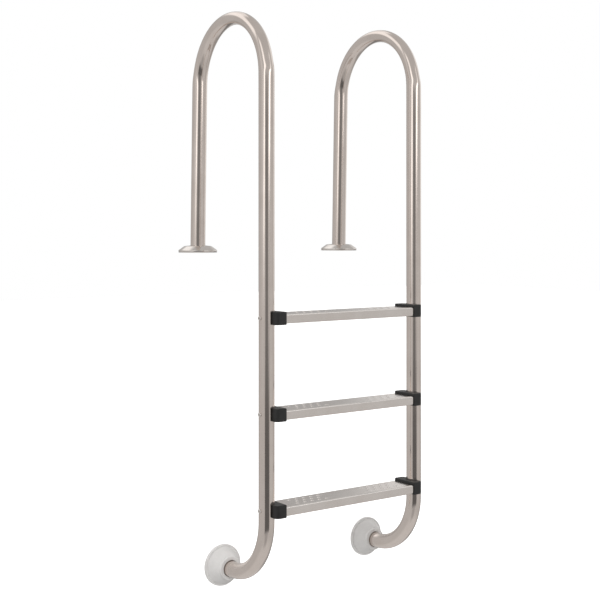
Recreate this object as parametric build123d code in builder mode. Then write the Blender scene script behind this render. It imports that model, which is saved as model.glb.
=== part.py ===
from build123d import *
import math
import os

# A pool ladder that is bolted to the deck and leans on the pool wall.
# The origin is on the deck, midway between the two deck flanges.
# +X runs along the treads, +Y away from the water, +Z up. The left side is at -X. Millimetres.

# Rails: one bent tube each
tube_diameter = 43
tube_wall = 1.2
rail_spacing = 516          # centre to centre
hoop_radius = 174           # of the tube's centre line
hoop_base = 480             # height above the deck where the hoop starts
leg_lean = 1.35             # degrees the hoop stops short of a half turn
hoop_thickness = 36         # the bending flattens the tube to this
hoop_inset = 1.5            # the flattening moves the centre line inwards
flattening_angle = 7        # stretch of the hoop where the tube goes from round to flat
elbow_radius = 168
stub_depth = 876            # of the lower stub's centre line below the deck
wall_reach = 226            # from the pool leg's centre line to the pool wall
leg_foot_height = 0.8       # the deck leg ends this far inside its flange

# Deck flanges and their loose covers
flange_diameter = 104
flange_thickness = 5
flange_bore = 44
flange_bolt_circle = 78
flange_bolt_count = 4
flange_hole_diameter = 9
weld_bead = 4
weld_bore = 43.8
cover_diameter = 112
cover_height = 20
cover_lip = 6.5
cover_shoulder_diameter = 78
cover_sheet = 1.2
cover_bore = 44.6
cover_edge_radius = 2

# Treads: pressed channels with embossed dots
tread_pitch = 255
top_tread_underside = -182
tread_depth = 80
tread_height = 25
tread_sheet = 1.2
tread_bend_radius = 3.5
tread_lip = 12
dot_diameter = 7
dot_height = 1.5
dot_root = 0.4              # the dot's base is sunk this far into the sheet
dot_pitch = 24
dot_row_offset = 20
dot_group_offset = 124

# End caps: moulded, each saddles a rail and takes the end of a tread
cap_length = 35.7           # from the rail's centre line
cap_setback = 2             # the saddle stops this far short of the rail's centre line
cap_depth = 87
cap_rim_below = 3
cap_height = 35
cap_corner_radius = 14
cap_edge_radius = 1.5
cap_socket_length = 10.5
cap_wall = 2.5
fit_gap = 0.2

# Through bolts, one at each end of each tread
bolt_diameter = 6
bolt_length = 56
bolt_clearance_diameter = 6.6
bolt_head_diameter = 12
bolt_head_height = 3
bolt_head_radius = 2
hex_socket_flats = 4
hex_socket_depth = 1.6
washer_diameter = 12.5
washer_thickness = 1.6
washer_bore = 6.4
nut_flats = 10
nut_thickness = 5
nut_bore = 6.1

# Rubber bumpers
bumper_diameter = 116
bumper_depth = 48
bumper_rim = 9
bumper_flare_diameter = 106
bumper_flare_start = 11.5
bumper_collar_diameter = 66
bumper_collar_length = 11
bumper_mouth_diameter = 48
bumper_mouth_depth = 5
bumper_floor = 9
bumper_rounding = 3

# Values that follow from the sizes above
tube_radius = tube_diameter / 2
lean = math.radians(leg_lean)
hoop_end_height = hoop_base + hoop_radius * math.sin(lean)
hoop_width = hoop_radius * (1 + math.cos(lean))
pool_leg_y = -hoop_width - hoop_end_height * math.tan(lean)
hoop_centre_y = pool_leg_y + hoop_radius
hoop_turn = 180 - leg_lean
wall_y = pool_leg_y + wall_reach
bolt_height = cap_height / 2 - cap_rim_below
web_face = cap_length - cap_socket_length
tread_length = rail_spacing - 2 * (web_face + fit_gap)
sides = {"left": -1, "right": 1}
tread_undersides = {
    name: top_tread_underside - step * tread_pitch
    for step, name in enumerate(("top", "middle", "bottom"))
}
bolt_planes = {
    side: [
        Plane(
            origin=(side * (rail_spacing / 2 + tube_radius), pool_leg_y, underside + bolt_height),
            z_dir=(-side, 0, 0),
        )
        for underside in tread_undersides.values()
    ]
    for side in sides.values()
}


def hoop_section(side, angle, radius):
    # Plane square to the hoop, at an angle counted from the pool leg
    turn = math.radians(angle)
    rise = radius * math.sin(turn)
    return Plane(
        origin=(side * rail_spacing / 2, hoop_centre_y - radius * math.cos(turn), hoop_base + rise),
        x_dir=(1, 0, 0),
        z_dir=(0, math.sin(turn), math.cos(turn)),
    )


def rail_rod(side, inset):
    # A solid rod along the rail: with no inset it is the tube's outside, with the wall its bore
    rail_plane = Plane.YZ.offset(side * rail_spacing / 2)
    round_radius = tube_radius - inset
    flat_radius = hoop_thickness / 2 - inset
    with BuildPart() as rod:
        with BuildLine(rail_plane) as lower_path:
            stub = Line((wall_y - bumper_floor - fit_gap, -stub_depth), (pool_leg_y + elbow_radius, -stub_depth))
            elbow = JernArc(stub @ 1, stub % 1, elbow_radius, -90)
            Line(elbow @ 1, hoop_section(side, 0, hoop_radius).origin)
        with BuildSketch(Plane(origin=stub @ 0, x_dir=(1, 0, 0), z_dir=stub % 0)):
            Circle(round_radius)
        sweep(path=lower_path.line)

        for round_angle, flat_angle in (
            (0, flattening_angle),
            (hoop_turn, hoop_turn - flattening_angle),
        ):
            with BuildSketch(hoop_section(side, round_angle, hoop_radius)):
                Circle(round_radius)
            with BuildSketch(hoop_section(side, flat_angle, hoop_radius - hoop_inset)):
                Ellipse(round_radius, flat_radius)
            loft()

        with BuildSketch(hoop_section(side, flattening_angle, hoop_radius - hoop_inset)):
            Ellipse(round_radius, flat_radius)
        revolve(
            axis=Axis((0, hoop_centre_y, hoop_base), (-1, 0, 0)),
            revolution_arc=hoop_turn - 2 * flattening_angle,
        )

        hoop_end = hoop_section(side, hoop_turn, hoop_radius)
        with BuildSketch(hoop_end):
            Circle(round_radius)
        extrude(amount=(hoop_end_height - leg_foot_height) / math.cos(lean))
    return rod.part


def make_rail(side):
    with BuildPart() as rail:
        add(rail_rod(side, 0))
        add(rail_rod(side, tube_wall), mode=Mode.SUBTRACT)
        with Locations(*bolt_planes[side]):
            Hole(bolt_clearance_diameter / 2)
    return rail.part


def make_deck_flange(side):
    # Plate with four deck screw holes, and the weld bead that holds it on the deck leg
    axis_x = side * rail_spacing / 2
    with BuildPart() as flange:
        with BuildSketch(Plane(origin=(axis_x, 0, 0))):
            Circle(flange_diameter / 2)
            Circle(flange_bore / 2, mode=Mode.SUBTRACT)
            with PolarLocations(flange_bolt_circle / 2, flange_bolt_count, start_angle=45):
                Circle(flange_hole_diameter / 2, mode=Mode.SUBTRACT)
        extrude(amount=flange_thickness)
        chamfer(flange.edges().group_by(Axis.Z)[-1].sort_by(SortBy.LENGTH)[-1], 1)
        with BuildSketch(Plane(origin=(axis_x, 0, flange_thickness), x_dir=(1, 0, 0), z_dir=(0, -1, 0))):
            with BuildLine():
                Polyline(
                    (weld_bore / 2, -1),
                    (weld_bore / 2, weld_bead),
                    (weld_bore / 2 + weld_bead, 0),
                    (weld_bore / 2 + weld_bead, -1),
                    close=True,
                )
            make_face()
        revolve(axis=Axis((axis_x, 0, 0), (0, 0, 1)))
    return flange.part


def cover_dome(side, inset):
    axis_x = side * rail_spacing / 2
    rim = cover_diameter / 2 - inset
    with BuildPart() as dome:
        with BuildSketch(Plane(origin=(axis_x, 0, 0), x_dir=(1, 0, 0), z_dir=(0, -1, 0))) as profile:
            with BuildLine():
                Polyline(
                    (0, 0),
                    (rim, 0),
                    (rim, cover_lip),
                    (cover_shoulder_diameter / 2 - inset / 2, cover_height - 1.5 - inset),
                    (cover_bore / 2, cover_height - inset),
                    (0, cover_height - inset),
                    close=True,
                )
            make_face()
            fillet(profile.vertices().filter_by(lambda v: v.Z > 0).sort_by(Axis.X)[-2:], cover_edge_radius)
        revolve(axis=Axis((axis_x, 0, 0), (0, 0, 1)))
    return dome.part


def make_flange_cover(side):
    # Domed cover that lies loose over the flange and slides up the deck leg
    with BuildPart() as cover:
        add(cover_dome(side, 0))
        add(cover_dome(side, cover_sheet), mode=Mode.SUBTRACT)
        with Locations((side * rail_spacing / 2, 0, cover_height)):
            Hole(cover_bore / 2)
    return cover.part


def make_tread(underside):
    top = underside + tread_height
    dot_radius = ((dot_diameter / 2) ** 2 + dot_height**2) / (2 * dot_height)
    dot_latitude = math.degrees(math.asin(1 - (dot_height + dot_root) / dot_radius))
    to_top = (Align.CENTER, Align.CENTER, Align.MAX)
    with BuildPart() as tread:
        with BuildSketch(Plane.YZ.offset(-tread_length / 2)):
            with Locations((pool_leg_y, underside + tread_height / 2)):
                RectangleRounded(tread_depth, tread_height, tread_bend_radius)
                RectangleRounded(
                    tread_depth - 2 * tread_sheet,
                    tread_height - 2 * tread_sheet,
                    tread_bend_radius - tread_sheet,
                    mode=Mode.SUBTRACT,
                )
            with Locations((pool_leg_y, underside)):
                Rectangle(tread_depth - 2 * tread_lip, 4 * tread_sheet, mode=Mode.SUBTRACT)
        extrude(amount=tread_length)
        for group in sides.values():
            with Locations((group * dot_group_offset, pool_leg_y, top + dot_height)):
                with GridLocations(dot_pitch, 2 * dot_row_offset, 5, 2):
                    Sphere(dot_radius, arc_size1=dot_latitude, align=to_top)
                with GridLocations(dot_pitch, dot_pitch, 4, 1):
                    Sphere(dot_radius, arc_size1=dot_latitude, align=to_top)
    return tread.part


def make_end_cap(side, underside):
    # Sketched on a plane square to the tread, counted from the rail's centre line towards the tread
    middle = underside - cap_rim_below + cap_height / 2
    cap_axis = Plane(
        origin=(side * rail_spacing / 2, pool_leg_y, middle), x_dir=(0, 1, 0), z_dir=(-side, 0, 0)
    )
    up = cap_axis.y_dir.Z       # the sketch's own up may point down in the world
    channel_middle = up * (underside + tread_height / 2 - middle)
    outer = 2 * fit_gap
    inner = -2 * tread_sheet - 2 * fit_gap
    core = inner - 2 * cap_wall
    with BuildPart() as cap:
        with BuildSketch(cap_axis.offset(cap_setback)):
            Rectangle(cap_depth, cap_height)
        extrude(amount=cap_length - cap_setback)
        outboard = cap.edges().filter_by(Axis.Z).group_by(Axis.X)[0 if side < 0 else -1]
        fillet(outboard, cap_corner_radius)
        fillet(cap.faces().filter_by(Axis.Z).edges(), cap_edge_radius)

        # Slot for the channel's sheet, and the hollow behind it for the nut
        with BuildSketch(cap_axis.offset(web_face)):
            with Locations((0, channel_middle)):
                RectangleRounded(tread_depth + outer, tread_height + outer, tread_bend_radius)
                RectangleRounded(
                    tread_depth + inner, tread_height + inner, tread_bend_radius, mode=Mode.SUBTRACT
                )
        extrude(amount=cap_socket_length, mode=Mode.SUBTRACT)
        with BuildSketch(cap_axis.offset(web_face)):
            with Locations((0, channel_middle)):
                Rectangle(tread_depth + core, tread_height + core)
        extrude(amount=cap_socket_length, mode=Mode.SUBTRACT)

        # Saddle around the inner half of the rail, and the bolt's hole
        with BuildSketch(Plane(origin=(side * rail_spacing / 2, pool_leg_y, middle - cap_height))):
            Circle(tube_radius + fit_gap)
        extrude(amount=2 * cap_height, mode=Mode.SUBTRACT)
        with BuildSketch(cap_axis):
            Circle(bolt_clearance_diameter / 2)
        extrude(amount=cap_length, mode=Mode.SUBTRACT)
    return cap.part


# A bolt's own plane touches the outside of the rail, with +Z pointing inwards
with BuildPart() as bolt:
    with BuildSketch(Plane.XY.offset(-bolt_head_height)):
        Circle(bolt_head_diameter / 2)
    extrude(amount=bolt_head_height)
    fillet(bolt.edges().sort_by(Axis.Z)[0], bolt_head_radius)
    with BuildSketch(Plane.XY.offset(-bolt_head_height)):
        RegularPolygon(hex_socket_flats / 2, 6, major_radius=False)
    extrude(amount=hex_socket_depth, mode=Mode.SUBTRACT)
    with BuildSketch(Plane.XY):
        Circle(bolt_diameter / 2)
    extrude(amount=bolt_length)
    chamfer(bolt.edges().sort_by(Axis.Z)[-1], 0.8)

washer_seat = tube_radius + web_face
with BuildPart() as washer:
    with BuildSketch(Plane.XY.offset(washer_seat)):
        Circle(washer_diameter / 2)
        Circle(washer_bore / 2, mode=Mode.SUBTRACT)
    extrude(amount=washer_thickness)

with BuildPart() as nut:
    with BuildSketch(Plane.XY.offset(washer_seat + washer_thickness)):
        RegularPolygon(nut_flats / 2, 6, major_radius=False)
        Circle(nut_bore / 2, mode=Mode.SUBTRACT)
    extrude(amount=nut_thickness)


def fastener_group(fastener):
    # One copy at each end of each tread
    with BuildPart() as group:
        with Locations(*bolt_planes[-1], *bolt_planes[1]):
            add(fastener)
    return group.part


def make_wall_bumper(side):
    # Sketched as radius across and distance out from the pool wall
    wall_point = (side * rail_spacing / 2, wall_y, -stub_depth)
    collar_start = bumper_depth - bumper_collar_length
    with BuildPart() as bumper:
        with BuildSketch(Plane(origin=wall_point, x_dir=(1, 0, 0), z_dir=(0, 0, -1))):
            with BuildLine():
                outside = FilletPolyline(
                    (0, 0),
                    (bumper_diameter / 2, 0),
                    (bumper_diameter / 2, bumper_rim),
                    (bumper_flare_diameter / 2, bumper_flare_start),
                    (bumper_collar_diameter / 2 + 3, collar_start - 1),
                    (bumper_collar_diameter / 2, collar_start + 2),
                    (bumper_collar_diameter / 2, bumper_depth),
                    (bumper_mouth_diameter / 2, bumper_depth),
                    radius=bumper_rounding,
                )
                Polyline(
                    outside @ 1,
                    (tube_radius + fit_gap, bumper_depth - bumper_mouth_depth),
                    (tube_radius + fit_gap, bumper_floor),
                    (0, bumper_floor),
                    (0, 0),
                )
            make_face()
        revolve(axis=Axis(wall_point, (0, 1, 0)))
    return bumper.part


pieces = {
    "tread_bolts": fastener_group(bolt.part),
    "tread_washers": fastener_group(washer.part),
    "tread_nuts": fastener_group(nut.part),
}
for side_name, side in sides.items():
    pieces[f"{side_name}_rail"] = make_rail(side)
    pieces[f"{side_name}_deck_flange"] = make_deck_flange(side)
    pieces[f"{side_name}_flange_cover"] = make_flange_cover(side)
    pieces[f"{side_name}_wall_bumper"] = make_wall_bumper(side)
for tread_name, underside in tread_undersides.items():
    pieces[f"{tread_name}_tread"] = make_tread(underside)
    for side_name, side in sides.items():
        pieces[f"{tread_name}_{side_name}_end_cap"] = make_end_cap(side, underside)

os.makedirs("parts", exist_ok=True)
for name, piece in pieces.items():
    piece.label = name
    export_step(piece, f"parts/{name}.step")
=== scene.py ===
import math
import bmesh
import bpy
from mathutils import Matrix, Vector


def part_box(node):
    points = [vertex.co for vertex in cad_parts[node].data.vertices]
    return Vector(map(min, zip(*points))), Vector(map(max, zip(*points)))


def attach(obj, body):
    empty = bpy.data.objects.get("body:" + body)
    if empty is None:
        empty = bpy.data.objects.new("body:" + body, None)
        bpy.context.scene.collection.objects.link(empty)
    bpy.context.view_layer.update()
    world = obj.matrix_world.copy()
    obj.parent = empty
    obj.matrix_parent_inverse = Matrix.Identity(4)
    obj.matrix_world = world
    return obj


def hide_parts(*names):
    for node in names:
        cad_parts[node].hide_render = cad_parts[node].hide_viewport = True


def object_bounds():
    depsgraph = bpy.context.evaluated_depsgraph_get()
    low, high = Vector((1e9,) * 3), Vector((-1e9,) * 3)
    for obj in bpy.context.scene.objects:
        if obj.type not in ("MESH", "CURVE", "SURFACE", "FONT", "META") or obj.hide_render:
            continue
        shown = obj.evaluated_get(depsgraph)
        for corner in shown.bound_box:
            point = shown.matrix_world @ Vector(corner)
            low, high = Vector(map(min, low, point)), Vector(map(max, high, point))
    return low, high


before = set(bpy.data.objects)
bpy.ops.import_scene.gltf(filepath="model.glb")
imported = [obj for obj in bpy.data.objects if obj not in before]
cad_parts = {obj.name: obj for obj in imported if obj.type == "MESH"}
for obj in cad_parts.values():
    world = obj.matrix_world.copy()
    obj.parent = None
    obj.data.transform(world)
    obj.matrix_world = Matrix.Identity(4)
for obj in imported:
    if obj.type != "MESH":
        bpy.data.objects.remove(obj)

cadLow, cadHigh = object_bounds()
sideNames = {"left": -1, "right": 1}
treadNames = ("top", "middle", "bottom")


def middleOf(node):
    low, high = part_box(node)
    return (low + high) / 2


def newPiece(name, mesh, body, slotName, *nodes):
    piece = bpy.data.objects.new(name, mesh)
    bpy.context.collection.objects.link(piece)
    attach(piece, body)
    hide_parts(*nodes)
    return piece


def placeAndApply(piece, place, turn=(0, 0, 0)):
    # Finishes the stack at its own origin, then moves the mesh
    piece.rotation_euler = turn
    piece.location = place
    bpy.context.view_layer.update()
    finished = piece.evaluated_get(bpy.context.evaluated_depsgraph_get())
    mesh = bpy.data.meshes.new_from_object(finished)
    mesh.transform(piece.matrix_world)
    mesh.name = piece.name
    piece.modifiers.clear()
    piece.data = mesh
    piece.rotation_euler = (0, 0, 0)
    piece.location = (0, 0, 0)


def smoothFaces(mesh):
    for face in mesh.polygons:
        face.use_smooth = True


def subdivide(piece, levels):
    step = piece.modifiers.new("smooth", "SUBSURF")
    step.levels = step.render_levels = levels


def thicken(piece, wall):
    step = piece.modifiers.new("sheet", "SOLIDIFY")
    step.thickness = wall
    step.offset = -1


def nodeMaterial(name):
    material = bpy.data.materials.new(name)
    material.use_nodes = True
    nodes, links = material.node_tree.nodes, material.node_tree.links
    shader = nodes["Principled BSDF"]
    return material, nodes, links, shader


def patternCoords(nodes, links, source, scale=(1, 1, 1)):
    coords = nodes.new("ShaderNodeTexCoord")
    mapping = nodes.new("ShaderNodeMapping")
    mapping.inputs["Scale"].default_value = scale
    links.new(coords.outputs[source], mapping.inputs["Vector"])
    return mapping.outputs["Vector"]


def noise(nodes, links, vector, scale, detail, rough=0.55):
    texture = nodes.new("ShaderNodeTexNoise")
    texture.inputs["Scale"].default_value = scale
    texture.inputs["Detail"].default_value = detail
    texture.inputs["Roughness"].default_value = rough
    links.new(vector, texture.inputs["Vector"])
    return texture.outputs["Fac"]


noiseRange = (0.3, 0.7)  # where nearly all of a noise lies


def spread(nodes, links, value, low, high):
    step = nodes.new("ShaderNodeMapRange")
    step.inputs["From Min"].default_value = noiseRange[0]
    step.inputs["From Max"].default_value = noiseRange[1]
    step.inputs["To Min"].default_value = low
    step.inputs["To Max"].default_value = high
    links.new(value, step.inputs["Value"])
    return step.outputs["Result"]


def blendColors(nodes, links, value, dark, light):
    ramp = nodes.new("ShaderNodeValToRGB")
    for stop, position, color in zip(ramp.color_ramp.elements, noiseRange, (dark, light)):
        stop.position = position
        stop.color = (*color, 1)
    links.new(value, ramp.inputs["Fac"])
    return ramp.outputs["Color"]


def addBump(nodes, links, shader, height, strength, distance):
    bump = nodes.new("ShaderNodeBump")
    bump.inputs["Strength"].default_value = strength
    bump.inputs["Distance"].default_value = distance
    links.new(height, bump.inputs["Height"])
    links.new(bump.outputs["Normal"], shader.inputs["Normal"])


def mixColors(nodes, links, factor, first, second):
    mix = nodes.new("ShaderNodeMix")
    mix.data_type = "RGBA"
    links.new(factor, mix.inputs["Factor"])
    for socket, value in ((mix.inputs["A"], first), (mix.inputs["B"], second)):
        if isinstance(value, tuple):
            socket.default_value = value
        else:
            links.new(value, socket)
    return mix.outputs["Result"]


brushing = {"scale": 1, "detail": 5, "rough": 0.6}
clouding = {"scale": 16, "detail": 3}
brushingDepth = 0.0001
steels = {
    "railSteel": {
        "coords": "UV",
        "grain": (900, 14, 1),         # fine round the tube, drawn out along it
        "low": (0.77, 0.69, 0.64),
        "high": (0.825, 0.745, 0.695),
        "rough": (0.09, 0.14),
        "bump": 0.01,
    },
    "treadSteel": {
        "coords": "Object",
        "grain": (10, 1300, 1300),
        "low": (0.79, 0.73, 0.69),
        "high": (0.85, 0.80, 0.765),
        "rough": (0.14, 0.20),
        "bump": 0.02,
        "paintedHighlight": (0.99, 0.96, 0.93),  # painted highlight: the bends and dot tops made brighter where they catch the light
    },
    "coverSteel": {
        "coords": "Object",
        "grain": (300, 300, 300),
        "low": (0.76, 0.71, 0.67),
        "high": (0.82, 0.78, 0.75),
        "rough": (0.09, 0.15),
        "bump": 0.03,
    },
    "plainSteel": {
        "coords": "Object",
        "grain": (400, 400, 400),
        "low": (0.60, 0.57, 0.54),
        "high": (0.72, 0.69, 0.66),
        "rough": (0.3, 0.42),
        "bump": 0.1,
    },
}


def satinSteel(name):
    steel = steels[name]
    material, nodes, links, shader = nodeMaterial(name)
    shader.inputs["Metallic"].default_value = 1
    grain = patternCoords(nodes, links, steel["coords"], steel["grain"])
    lines = noise(nodes, links, grain, **brushing)
    cloud = noise(nodes, links, patternCoords(nodes, links, "Object"), **clouding)
    color = blendColors(nodes, links, cloud, steel["low"], steel["high"])
    if "paintedHighlight" in steel:
        # painted highlight: brightens the base colour where the mesh marks the tread's bends and dot
        # tops
        spots = nodes.new("ShaderNodeAttribute")
        spots.attribute_name = "paintedHighlight"
        color = mixColors(nodes, links, spots.outputs["Fac"], color, (*steel["paintedHighlight"], 1))
    links.new(color, shader.inputs["Base Color"])
    links.new(spread(nodes, links, lines, *steel["rough"]), shader.inputs["Roughness"])
    addBump(nodes, links, shader, lines, steel["bump"], brushingDepth)
    return material


mouldings = {
    "capPlastic": {
        "grit": {"scale": 1400, "detail": 2},
        "cloud": {"scale": 60, "detail": 3},
        "low": (0.010, 0.010, 0.010),
        "high": (0.018, 0.018, 0.018),
        "rough": (0.42, 0.55),
        "bump": 0.25,
        "depth": 0.0003,
    },
    "bumperRubber": {
        "grit": {"scale": 900, "detail": 3},
        "cloud": {"scale": 35, "detail": 4},
        "low": (0.80, 0.79, 0.78),
        "high": (0.86, 0.85, 0.84),
        "rough": (0.5, 0.65),
        "bump": 0.15,
        "depth": 0.0004,
    },
}


def mouldedMaterial(name):
    recipe = mouldings[name]
    material, nodes, links, shader = nodeMaterial(name)
    grit = noise(nodes, links, patternCoords(nodes, links, "Object"), **recipe["grit"])
    cloud = noise(nodes, links, patternCoords(nodes, links, "Object"), **recipe["cloud"])
    color = blendColors(nodes, links, cloud, recipe["low"], recipe["high"])
    links.new(color, shader.inputs["Base Color"])
    links.new(spread(nodes, links, cloud, *recipe["rough"]), shader.inputs["Roughness"])
    addBump(nodes, links, shader, grit, recipe["bump"], recipe["depth"])
    return material


railSteel = satinSteel("railSteel")
treadSteel = satinSteel("treadSteel")
coverSteel = satinSteel("coverSteel")
plainSteel = satinSteel("plainSteel")
capPlastic = mouldedMaterial("capPlastic")
bumperRubber = mouldedMaterial("bumperRubber")
print("materials ready")


rails = {
    "hoopRadius": 0.174,
    "lean": math.radians(1.35),      # the hoop stops this far short of a half turn
    "hoopThickness": 0.036,          # the bending flattens the tube to this
    "hoopInset": 0.0015,
    "flattening": math.radians(14),  # stretch of the hoop that goes from round to flat
    "elbowRadius": 0.168,
    "wall": 0.0012,
    "bendStep": math.radians(3.5),
    "ringPoints": 16,
    "smoothing": 2,
    "legRings": 8,
    "footHeight": 0.0008,            # gap between the deck leg's end and the deck
    "stubEnd": 0.0092,               # from the wall to the end of the stub
    "stubStraight": 0.006,           # a ring this far past the elbow keeps the stub straight
    "girth": 0.135,                  # round the tube, for the grain's map
}


def railStations(name):
    # The tube's sections from the stub to the deck leg's foot: centre, inward direction, both radii
    low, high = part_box(name + "_rail")
    radius = (high.x - low.x) / 2
    legY = low.y + radius
    stubZ = low.z + radius
    hoopRadius, lean = rails["hoopRadius"], rails["lean"]
    hoopBase = high.z - (hoopRadius - rails["hoopInset"]) - rails["hoopThickness"] / 2
    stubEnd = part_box(name + "_wall_bumper")[1].y - rails["stubEnd"]
    elbowRadius = rails["elbowRadius"]
    elbowZ = stubZ + elbowRadius
    stations = []

    def add(y, z, angle, flat=0.0):
        # The angle is the tube's direction, counted up from -Y through +Z to +Y
        inset = rails["hoopInset"] * flat
        thick = radius + (rails["hoopThickness"] / 2 - radius) * flat
        inward = Vector((0, math.sin(angle), math.cos(angle)))
        stations.append((Vector((0, y, z)) + inward * inset, inward, radius, thick))

    add(stubEnd, stubZ, 0)
    add(legY + elbowRadius + rails["stubStraight"], stubZ, 0)
    bendCount = round(math.pi / 2 / rails["bendStep"])
    for step in range(bendCount + 1):
        angle = step * math.pi / 2 / bendCount
        add(legY + elbowRadius * (1 - math.sin(angle)), elbowZ - elbowRadius * math.cos(angle), angle)
    for step in range(1, rails["legRings"]):
        add(legY, elbowZ + (hoopBase - elbowZ) * step / rails["legRings"], math.pi / 2)
    turn = math.pi - lean
    hoopCount = round(turn / rails["bendStep"])
    for step in range(hoopCount + 1):
        angle = turn * step / hoopCount
        flat = min(1.0, min(angle, turn - angle) / rails["flattening"])
        flat = flat * flat * (3 - 2 * flat)  # eased at both ends of the stretch
        y = legY + hoopRadius * (1 - math.cos(angle))
        z = hoopBase + hoopRadius * math.sin(angle)
        add(y, z, angle + math.pi / 2, flat)
    endY = legY + hoopRadius * (1 + math.cos(lean))
    endZ = hoopBase + hoopRadius * math.sin(lean)
    for step in range(1, rails["legRings"] + 1):
        drop = (endZ - rails["footHeight"]) * step / rails["legRings"]
        add(endY + drop * math.tan(lean), endZ - drop, turn + math.pi / 2)
    return stations


def makeRail(name):
    centreX = middleOf(name + "_rail").x
    count = rails["ringPoints"]
    growth = 3 / (2 + math.cos(2 * math.pi / count))  # a smoothed ring shrinks by this much
    shape = bmesh.new()
    uvMap = shape.loops.layers.uv.new("UVMap")
    rings, runs = [], []
    run = 0.0
    last = None
    for centre, inward, wide, thick in railStations(name):
        if last is not None:
            run += (centre - last).length
        last = centre
        runs.append(run)
        ring = []
        for point in range(count):
            around = 2 * math.pi * point / count
            place = centre + Vector((1, 0, 0)) * wide * growth * math.cos(around)
            place += inward * thick * growth * math.sin(around)
            ring.append(shape.verts.new((place.x + centreX, place.y, place.z)))
        rings.append(ring)
    for index in range(len(rings) - 1):
        for point in range(count):
            after = (point + 1) % count
            near, far = rings[index], rings[index + 1]
            face = shape.faces.new((near[point], near[after], far[after], far[point]))
            corners = ((point, index), (point + 1, index), (point + 1, index + 1), (point, index + 1))
            for loop, (u, v) in zip(face.loops, corners):
                loop[uvMap].uv = (u / count * rails["girth"], runs[v])
    bmesh.ops.recalc_face_normals(shape, faces=shape.faces)
    mesh = bpy.data.meshes.new(name + "Rail")
    shape.to_mesh(mesh)
    shape.free()
    smoothFaces(mesh)
    rail = newPiece(name + "Rail", mesh, "ladder", "rail_steel", name + "_rail")
    subdivide(rail, rails["smoothing"])
    thicken(rail, rails["wall"])
    mesh.materials.append(railSteel)


for sideName in sideNames:
    makeRail(sideName)
print("rails bent")


covers = {
    "rim": 0.056,
    "height": 0.020,
    "lip": 0.0065,
    "shoulder": 0.039,
    "shoulderDrop": 0.0015,
    "bore": 0.0223,
    "sheet": 0.0012,
    "rounding": (0.006, 0.002),
    "steps": 96,
}
mergeGap = 0.00001  # closes a turned shape at its axis


def turnedPiece(name, points, steps, body, slotName, node):
    # The points run from top to bottom along the profile, as radius and height
    mesh = bpy.data.meshes.new(name)
    corners = [(radius, 0, height) for radius, height in points]
    mesh.from_pydata(corners, [(i, i + 1) for i in range(len(points) - 1)], [])
    piece = newPiece(name, mesh, body, slotName, node)
    screw = piece.modifiers.new("turn", "SCREW")
    screw.steps = screw.render_steps = steps
    screw.use_merge_vertices = True
    screw.merge_threshold = mergeGap
    screw.use_smooth_shade = True
    return piece


def roundedPath(corners, radii, steps=5):
    # A profile through the corners, each turned with its own radius
    path = [Vector(corners[0])]
    for before, corner, after, radius in zip(corners, corners[1:], corners[2:], radii):
        corner = Vector(corner)
        back, ahead = (Vector(before) - corner).normalized(), (Vector(after) - corner).normalized()
        half = back.angle(ahead) / 2
        if radius == 0:
            path.append(corner)
            continue
        reach = radius / math.tan(half)
        centre = corner + (back + ahead).normalized() * (radius / math.sin(half))
        start, end = corner + back * reach - centre, corner + ahead * reach - centre
        sweep = start.angle(end)
        for step in range(steps + 1):
            share = step / steps
            turned = start * math.sin((1 - share) * sweep) + end * math.sin(share * sweep)
            path.append(centre + turned / math.sin(sweep))
    path.append(Vector(corners[-1]))
    return [tuple(point) for point in path]


def makeCover(sideName):
    node = sideName + "_flange_cover"
    corners = [
        (covers["bore"], covers["height"]),
        (covers["shoulder"], covers["height"] - covers["shoulderDrop"]),
        (covers["rim"], covers["lip"]),
        (covers["rim"], 0.0),
    ]
    profile = roundedPath(corners, covers["rounding"])
    body = sideName + "_cover"
    cover = turnedPiece(sideName + "FlangeCover", profile, covers["steps"], body, "cover_steel", node)
    thicken(cover, covers["sheet"])
    middle = middleOf(node)
    placeAndApply(cover, (middle.x, middle.y, 0))
    cover.data.materials.clear()
    cover.data.materials.append(coverSteel)


for sideName in sideNames:
    makeCover(sideName)
print("covers spun")


bumpers = {
    "steps": 96,
    "socket": 0.0217,
    "socketFloor": 0.009,
    # Corners from the socket outwards, each with its radius, place and rounding.
    "mouth": [                   # placed by the depth below the mouth
        (0.0217, 0.005, 0.003),
        (0.0235, 0.0, 0.001),
        (0.0328, 0.0, 0.002),
        (0.0328, 0.0095, 0.0008),
        (0.0355, 0.0115, 0.004),
    ],
    "cone": [                    # placed by the height above the wall
        (0.0435, 0.0225, 0.012),
        (0.0505, 0.0118, 0.0012),
        (0.0522, 0.0068, 0.0006),
        (0.0545, 0.0088, 0.0015),
    ],
    "rimHeight": 0.0068,
    "rimRounding": 0.002,
    "edgeRounding": 0.001,
}


def makeBumper(sideName):
    node = sideName + "_wall_bumper"
    low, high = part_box(node)
    rim = (high.x - low.x) / 2
    depth = high.y - low.y
    middle = (low + high) / 2
    corners = [(bumpers["socket"], bumpers["socketFloor"], bumpers["edgeRounding"])]
    corners += [(radius, depth - below, rounding) for radius, below, rounding in bumpers["mouth"]]
    corners += bumpers["cone"]
    corners.append((rim, bumpers["rimHeight"], bumpers["rimRounding"]))
    corners.append((rim, 0.0, bumpers["edgeRounding"]))
    points = [(radius, height) for radius, height, rounding in corners]
    roundings = [rounding for radius, height, rounding in corners]
    profile = roundedPath([(0.0, bumpers["socketFloor"]), *points, (0.0, 0.0)], roundings)
    name = sideName + "WallBumper"
    bumper = turnedPiece(name, profile, bumpers["steps"], "ladder", "bumper_rubber", node)
    placeAndApply(bumper, (middle.x, high.y, middle.z), (math.pi / 2, 0, 0))
    bumper.data.materials.clear()
    bumper.data.materials.append(bumperRubber)


for sideName in sideNames:
    makeBumper(sideName)
print("bumpers moulded")


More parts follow.
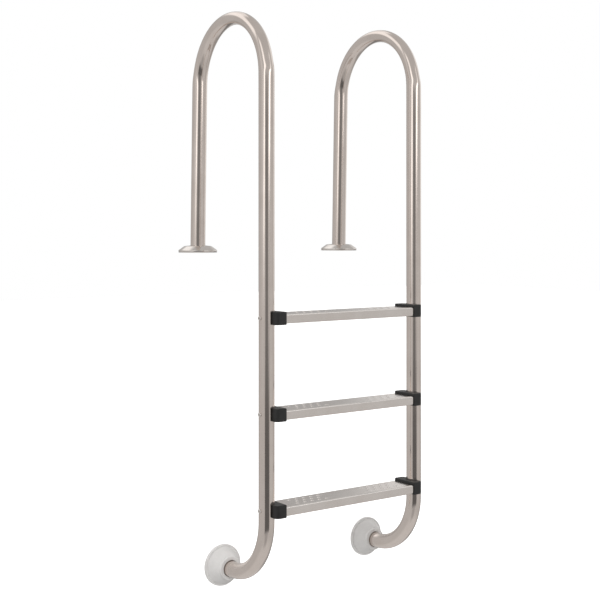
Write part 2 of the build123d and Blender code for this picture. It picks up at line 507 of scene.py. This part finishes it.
treads = {
    "sheet": 0.0012,
    "bend": 0.0035,
    "lip": 0.012,
    "dotHeight": 0.0015,
    "dotRadius": 0.0035,
    "dotPitch": 0.024,
    "dotRow": 0.020,
    "groupOffset": 0.124,
    "groupRows": ((-1, 5), (0, 4), (1, 5)),           # place and number of dots
    "ringLines": (-1.25, -0.75, 0, 0.75, 1.25),       # grid lines round a dot, in its radii
    "dotShape": ((0.1, 1), (0.9, 0.62), (1.2, 0.2)),  # reach in its radii, and share of its height
    "dotSwell": 1.18,                                 # makes up for what smoothing takes off
    "height": 0.025,
    "endLines": (0.0, 0.004, 0.02),                   # grid lines counted in from each end
    "bendLine": 0.004,                                # and from each bend
    "lipLine": 0.0015,
    "wallLine": 0.003,
    "bendAngles": (0, 22.5, 45, 67.5),
    "smoothing": 2,
}


def dotCentres():
    centres = []
    for group in sideNames.values():
        middle = group * treads["groupOffset"]
        for row, count in treads["groupRows"]:
            for column in range(count):
                along = (column - (count - 1) / 2) * treads["dotPitch"]
                centres.append((middle + along, row * treads["dotRow"]))
    return centres


def withDots(values, spots):  # grid lines at every dot and close round it
    lines = set(values)
    for spot in spots:
        for shift in treads["ringLines"]:
            lines.add(round(spot + shift * treads["dotRadius"], 6))
    return sorted(lines)


def dotLift(x, y, dots):
    lift = 0.0
    for dotX, dotY in dots:
        away = math.hypot(x - dotX, y - dotY) / treads["dotRadius"]
        for reach, share in treads["dotShape"]:
            if away < reach:
                lift = max(lift, treads["dotHeight"] * treads["dotSwell"] * share)
                break
    return lift


def treadSection(half, rows):
    # From the front lip over the top to the back lip: place, height, and whether it is on the top
    bend, height = treads["bend"], treads["height"]
    front = []
    lipEnd = half - treads["lip"]
    for y in (-lipEnd, -lipEnd - treads["lipLine"], -half + bend):
        front.append((y, 0.0, False))
    for degrees in reversed(treads["bendAngles"]):
        angle = math.radians(-degrees)
        front.append((-half + bend - bend * math.cos(angle), bend + bend * math.sin(angle), False))
    wallTop = height - bend
    front.append((-half, bend + treads["wallLine"], False))
    front.append((-half, wallTop - treads["wallLine"], False))
    for degrees in treads["bendAngles"]:
        angle = math.radians(degrees)
        front.append((-half + bend - bend * math.cos(angle), wallTop + bend * math.sin(angle), False))
    back = [(-y, z, onTop) for y, z, onTop in reversed(front)]
    return front + [(y, height, True) for y in rows] + back


def makeTread(treadName):
    node = treadName + "_tread"
    low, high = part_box(node)
    centreY = (low.y + high.y) / 2
    half = (high.y - low.y) / 2
    dots = dotCentres()
    leftLines = [low.x + line for line in treads["endLines"]]
    rightLines = [high.x - line for line in treads["endLines"]]
    columns = withDots((*leftLines, 0.0, *rightLines), {x for x, y in dots})
    inner = half - treads["bend"]
    bendLine = treads["bendLine"]
    rows = withDots((-inner, -inner + bendLine, inner - bendLine, inner), {y for x, y in dots})
    section = treadSection(half, rows)
    bendStart = treads["height"] - treads["bend"]
    shape = bmesh.new()
    paintedHighlight = shape.verts.layers.float.new("paintedHighlight")
    grid = []
    for x in columns:
        line = []
        for y, z, onTop in section:
            lift = dotLift(x, y, dots) if onTop else 0.0
            corner = shape.verts.new((x, centreY + y, low.z + z + lift))
            onBend = not onTop and z > bendStart
            # marks the bends and the dot tops for the painted highlight
            corner[paintedHighlight] = 1 if onBend else min(1, lift / treads["dotHeight"])
            line.append(corner)
        grid.append(line)
    for before, after in zip(grid, grid[1:]):
        for index in range(len(section) - 1):
            shape.faces.new((before[index], before[index + 1], after[index + 1], after[index]))
    bmesh.ops.recalc_face_normals(shape, faces=shape.faces)
    topMiddle = Vector((0, centreY, low.z + treads["height"]))
    middleFace = min(shape.faces, key=lambda face: (face.calc_center_median() - topMiddle).length)
    if middleFace.normal.z < 0:
        bmesh.ops.reverse_faces(shape, faces=shape.faces)
    mesh = bpy.data.meshes.new(treadName + "Tread")
    shape.to_mesh(mesh)
    shape.free()
    smoothFaces(mesh)
    tread = newPiece(treadName + "Tread", mesh, "ladder", "tread_steel", node)
    subdivide(tread, treads["smoothing"])
    thicken(tread, treads["sheet"])
    mesh.materials.append(treadSteel)


for treadName in treadNames:
    makeTread(treadName)
print("treads pressed")


endCaps = {
    "edge": 0.0022,
    "corner": 0.014,
    "start": 0.002,                   # from the rail's centre line
    "saddle": 0.0217,
    "socketLength": 0.0105,
    "socketPlay": 0.0003,
    "arcSteps": 7,
    "saddleSteps": 28,
    "sharpAngle": math.radians(40),   # edges past this are rounded
    "socketRounding": 0.2,            # share of the edge rounding that the socket gets
    "segments": 3,
}


def cornerPlace(step, half, back):
    # A point on the rounded corner at the front or the back of the rail's side
    angle = math.pi / 2 * step / endCaps["arcSteps"]
    away = endCaps["start"] + endCaps["corner"] * (1 - math.sin(angle))
    inset = endCaps["corner"] * (1 - math.cos(angle))
    return (away, half - inset if back else -half + inset)


def capOutline(length, half):
    # Plan of the cap from front to back, as distance from the rail's centre line and place along Y
    corner = range(endCaps["arcSteps"] + 1)
    saddle, saddleSteps = endCaps["saddle"], endCaps["saddleSteps"]
    outline = [(length, -half)]
    outline += [cornerPlace(step, half, False) for step in corner]
    reach = math.acos(endCaps["start"] / saddle)
    for step in range(saddleSteps + 1):
        angle = -reach + 2 * reach * step / saddleSteps
        outline.append((saddle * math.cos(angle), saddle * math.sin(angle)))
    outline += [cornerPlace(step, half, True) for step in reversed(corner)]
    outline.append((length, half))
    return outline


def makeEndCap(treadName, sideName, side):
    node = treadName + "_" + sideName + "_end_cap"
    low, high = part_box(node)
    treadLow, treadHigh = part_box(treadName + "_tread")
    railX = middleOf(sideName + "_rail").x
    centreY, half = (low.y + high.y) / 2, (high.y - low.y) / 2
    inner = low.x if side > 0 else high.x
    length = abs(railX - inner)
    shape = bmesh.new()
    weight = shape.edges.layers.float.new("bevel_weight_edge")
    outline = [(railX - side * away, centreY + y) for away, y in capOutline(length, half)]
    below = [shape.verts.new((x, y, low.z)) for x, y in outline]
    above = [shape.verts.new((x, y, high.z)) for x, y in outline]
    for index in range(len(outline) - 1):
        shape.faces.new((below[index], below[index + 1], above[index + 1], above[index]))
    for level in (below, above):
        shape.faces.new(level)
    # The open socket in the inner end, which takes the end of the tread
    play = endCaps["socketPlay"]
    width = (treadHigh.y - treadLow.y) / 2 + play
    bottom, top = treadLow.z - play, treadLow.z + treads["height"] + play
    mouth, floor = [], []
    for ring, x in ((mouth, inner), (floor, inner + side * endCaps["socketLength"])):
        for y, z in ((-width, bottom), (width, bottom), (width, top), (-width, top)):
            ring.append(shape.verts.new((x, centreY + y, z)))
    rim = [below[0], below[-1], above[-1], above[0]]
    for index in range(4):
        after = (index + 1) % 4
        shape.faces.new((rim[index], rim[after], mouth[after], mouth[index]))
        shape.faces.new((mouth[index], mouth[after], floor[after], floor[index]))
    shape.faces.new(floor)
    bmesh.ops.recalc_face_normals(shape, faces=shape.faces)
    sockets = set(mouth) | set(floor)
    for edge in shape.edges:
        if edge.calc_face_angle(0) > endCaps["sharpAngle"]:
            edge[weight] = endCaps["socketRounding"] if set(edge.verts) <= sockets else 1
    mesh = bpy.data.meshes.new(treadName + sideName.capitalize() + "EndCap")
    shape.to_mesh(mesh)
    shape.free()
    smoothFaces(mesh)
    cap = newPiece(mesh.name, mesh, "ladder", "cap_plastic", node)
    step = cap.modifiers.new("edges", "BEVEL")
    step.limit_method = "WEIGHT"
    step.width = endCaps["edge"]
    step.segments = endCaps["segments"]
    step.harden_normals = True
    mesh.materials.append(capPlastic)


for treadName in treadNames:
    for sideName, side in sideNames.items():
        makeEndCap(treadName, sideName, side)
print("caps moulded")


finishes = {  # for the solids that show as they are, by the end of their names
    "tread_bolts": coverSteel,
    "tread_washers": plainSteel,
    "tread_nuts": plainSteel,
    "deck_flange": plainSteel,
}
for nodeName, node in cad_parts.items():
    for ending, material in finishes.items():
        if nodeName.endswith(ending):
            for materialSlot in node.material_slots:
                materialSlot.material = material
print("finishes laid on")


studio = {
    "cameraPlace": (-1.9448, -2.8785, 0.0738),
    "heading": math.radians(35.5),
    "lens": 68.52,
    "sensor": 36,
    "drop": -0.1217,
    "slide": -0.0006,
    "walls": 0.53,
    "tint": (1, 0.985, 0.97),
    # Softboxes and black cards round the ladder, laid over each other in this order.
    # Bearings count from the camera, to its right, and rises from level, both in degrees.
    # soft is the width of the blurred edge across and up, and lean tips a card to the right.
    "cards": [
        {"bearing": 0, "width": 220, "rise": -68, "height": 26, "soft": (20, 22), "light": 0.62},
        {"bearing": -115, "width": 62, "rise": 48, "height": 15, "soft": (14, 14), "light": 1.12},
        {"bearing": -168, "width": 15, "rise": 43, "height": 14, "soft": (14, 14), "light": 0.88},
        {"bearing": -180, "width": 34, "rise": -26, "height": 9, "soft": (20, 5), "light": 0.22},
        {"bearing": 180, "width": 34, "rise": -26, "height": 9, "soft": (20, 5), "light": 0.22},
        {"bearing": -60, "width": 14, "rise": 18, "height": 22, "soft": (16, 16), "light": 0.66},
        {"bearing": -143, "width": 10, "rise": 0, "height": 26, "soft": (14, 16), "light": 0.40},
        {"bearing": 138, "width": 18, "rise": 14, "height": 18, "soft": (36, 10), "light": 0.98},
        {"bearing": 170, "width": 7, "rise": 10, "height": 9, "soft": (6, 6), "light": 0.78},
        {"bearing": -180, "width": 7, "rise": 10, "height": 8, "soft": (5, 6), "light": 0.42},
        {"bearing": 180, "width": 3, "rise": 10, "height": 8, "soft": (3, 6), "light": 0.42},
        {"bearing": 140, "width": 14, "rise": -34, "height": 24, "soft": (24, 14), "light": 0.36},
        {"bearing": 12, "width": 14, "rise": 42, "height": 12, "soft": (18, 12), "light": 1.15,
         "lean": -0.65},
        {"bearing": -36, "width": 9, "rise": 16, "height": 17, "soft": (11, 7), "light": 1.5,
         "lean": 0.9},
        {"bearing": 36, "width": 11, "rise": 24, "height": 9, "soft": (12, 10), "light": 1.05,
         "lean": 1.4},
        {"bearing": 36, "width": 11, "rise": 12, "height": 9, "soft": (8, 5), "light": 1.9,
         "lean": 1.4},
        {"bearing": 4, "width": 19, "rise": -1, "height": 9, "soft": (8, 8), "light": 0.21},
        {"bearing": 6, "width": 20, "rise": -36, "height": 13, "soft": (20, 14), "light": 0.40},
        {"bearing": 9, "width": 32, "rise": -17, "height": 10, "soft": (9, 7), "light": 0.125},
        {"bearing": 71, "width": 13, "rise": -9, "height": 12, "soft": (14, 12), "light": 0.575},
    ],
    "fill": {"place": (-1.9, -3.1, 1.5), "aim": (0, -0.25, -0.5), "size": 1.4, "power": 42},
    "floor": {"reach": 12, "gap": 0.001, "color": (0.9, 0.9, 0.9, 1), "glow": 0.75},
}


def mathNode(nodes, links, operation, first, second=None):
    step = nodes.new("ShaderNodeMath")
    step.operation = operation
    for socket, value in zip(step.inputs, (first, second)):
        if value is None:
            continue
        if isinstance(value, (int, float)):
            socket.default_value = value
        else:
            links.new(value, socket)
    return step.outputs["Value"]


def cardMask(nodes, links, bearing, rise, card):
    # How far inside the card a direction lies: 1 on it, falling to 0 over its soft edge
    masks = []
    across = (bearing, card["bearing"], card["width"], card["soft"][0])
    upward = (rise, card["rise"], card["height"], card["soft"][1])
    for value, centre, half, soft in (across, upward):
        away = mathNode(nodes, links, "ABSOLUTE", mathNode(nodes, links, "SUBTRACT", value, centre))
        edge = nodes.new("ShaderNodeMapRange")
        edge.interpolation_type = "SMOOTHSTEP"
        edge.inputs["From Min"].default_value = half + soft / 2
        edge.inputs["From Max"].default_value = max(half - soft / 2, 0)
        links.new(away, edge.inputs["Value"])
        masks.append(edge.outputs["Result"])
    return mathNode(nodes, links, "MULTIPLY", *masks)


def makeRoom():
    world = bpy.data.worlds.new("studio")
    bpy.context.scene.world = world
    world.use_nodes = True
    nodes, links = world.node_tree.nodes, world.node_tree.links
    direction = nodes.new("ShaderNodeTexCoord").outputs["Generated"]
    heading = studio["heading"]
    parts = []
    cameraAxis = (-math.sin(heading), -math.cos(heading), 0)
    rightAxis = (math.cos(heading), -math.sin(heading), 0)
    for axis in (cameraAxis, rightAxis, (0, 0, 1)):
        part = nodes.new("ShaderNodeVectorMath")
        part.operation = "DOT_PRODUCT"
        part.inputs[1].default_value = axis
        links.new(direction, part.inputs[0])
        parts.append(part.outputs["Value"])
    toCamera, toRight, up = parts
    degrees = math.degrees(1)
    turn = mathNode(nodes, links, "ARCTAN2", toRight, toCamera)
    bearing = mathNode(nodes, links, "MULTIPLY", turn, degrees)
    rise = mathNode(nodes, links, "MULTIPLY", mathNode(nodes, links, "ARCSINE", up), degrees)
    light = studio["walls"]
    for card in studio["cards"]:
        tipped = mathNode(nodes, links, "MULTIPLY", rise, card.get("lean", 0))
        leaned = mathNode(nodes, links, "SUBTRACT", bearing, tipped)
        mask = cardMask(nodes, links, leaned, rise, card)
        mix = nodes.new("ShaderNodeMix")
        links.new(mask, mix.inputs["Factor"])
        mix.inputs["B"].default_value = card["light"]
        if isinstance(light, float):
            mix.inputs["A"].default_value = light
        else:
            links.new(light, mix.inputs["A"])
        light = mix.outputs["Result"]
    tint = nodes.new("ShaderNodeVectorMath")
    tint.operation = "SCALE"
    tint.inputs[0].default_value = studio["tint"]
    links.new(light, tint.inputs["Scale"])
    seen = nodes.new("ShaderNodeLightPath").outputs["Is Camera Ray"]
    room = mixColors(nodes, links, seen, tint.outputs["Vector"], (1, 1, 1, 1))
    links.new(room, nodes["Background"].inputs["Color"])


def makeFloor():
    plan = studio["floor"]
    reach, height = plan["reach"], cadLow[2] - plan["gap"]
    corners = [(x * reach, y * reach, height) for x, y in ((-1, -1), (1, -1), (1, 1), (-1, 1))]
    mesh = bpy.data.meshes.new("floor")
    mesh.from_pydata(corners, [], [(0, 1, 2, 3)])
    floor = bpy.data.objects.new("floor", mesh)
    bpy.context.collection.objects.link(floor)
    material, nodes, links, shader = nodeMaterial("paleFloor")
    shader.inputs["Base Color"].default_value = plan["color"]
    shader.inputs["Roughness"].default_value = 1
    shader.inputs["Emission Color"].default_value = (1, 1, 1, 1)
    shader.inputs["Emission Strength"].default_value = plan["glow"]
    mesh.materials.append(material)
    floor.visible_glossy = False
    floor.visible_diffuse = False


def makeFill():
    # Lifts the rubber and plastic only, since polished steel would mirror it
    fill = studio["fill"]
    light = bpy.data.lights.new("fill", "AREA")
    light.size = fill["size"]
    light.energy = fill["power"]
    lamp = bpy.data.objects.new("fill", light)
    bpy.context.collection.objects.link(lamp)
    lamp.location = fill["place"]
    aim = Vector(fill["aim"]) - lamp.location
    lamp.rotation_euler = aim.to_track_quat("-Z", "Y").to_euler()
    lamp.visible_glossy = False


def makeCamera():
    camera = bpy.data.objects.new("camera", bpy.data.cameras.new("camera"))
    bpy.context.collection.objects.link(camera)
    camera.location = studio["cameraPlace"]
    camera.rotation_euler = (math.pi / 2, 0, -studio["heading"])
    camera.data.lens = studio["lens"]
    camera.data.sensor_width = studio["sensor"]
    camera.data.shift_x = studio["slide"]
    camera.data.shift_y = studio["drop"]
    bpy.context.scene.camera = camera


makeRoom()
makeFloor()
makeFill()
makeCamera()
bpy.context.scene.view_settings.view_transform = "Standard"
print("studio lit")
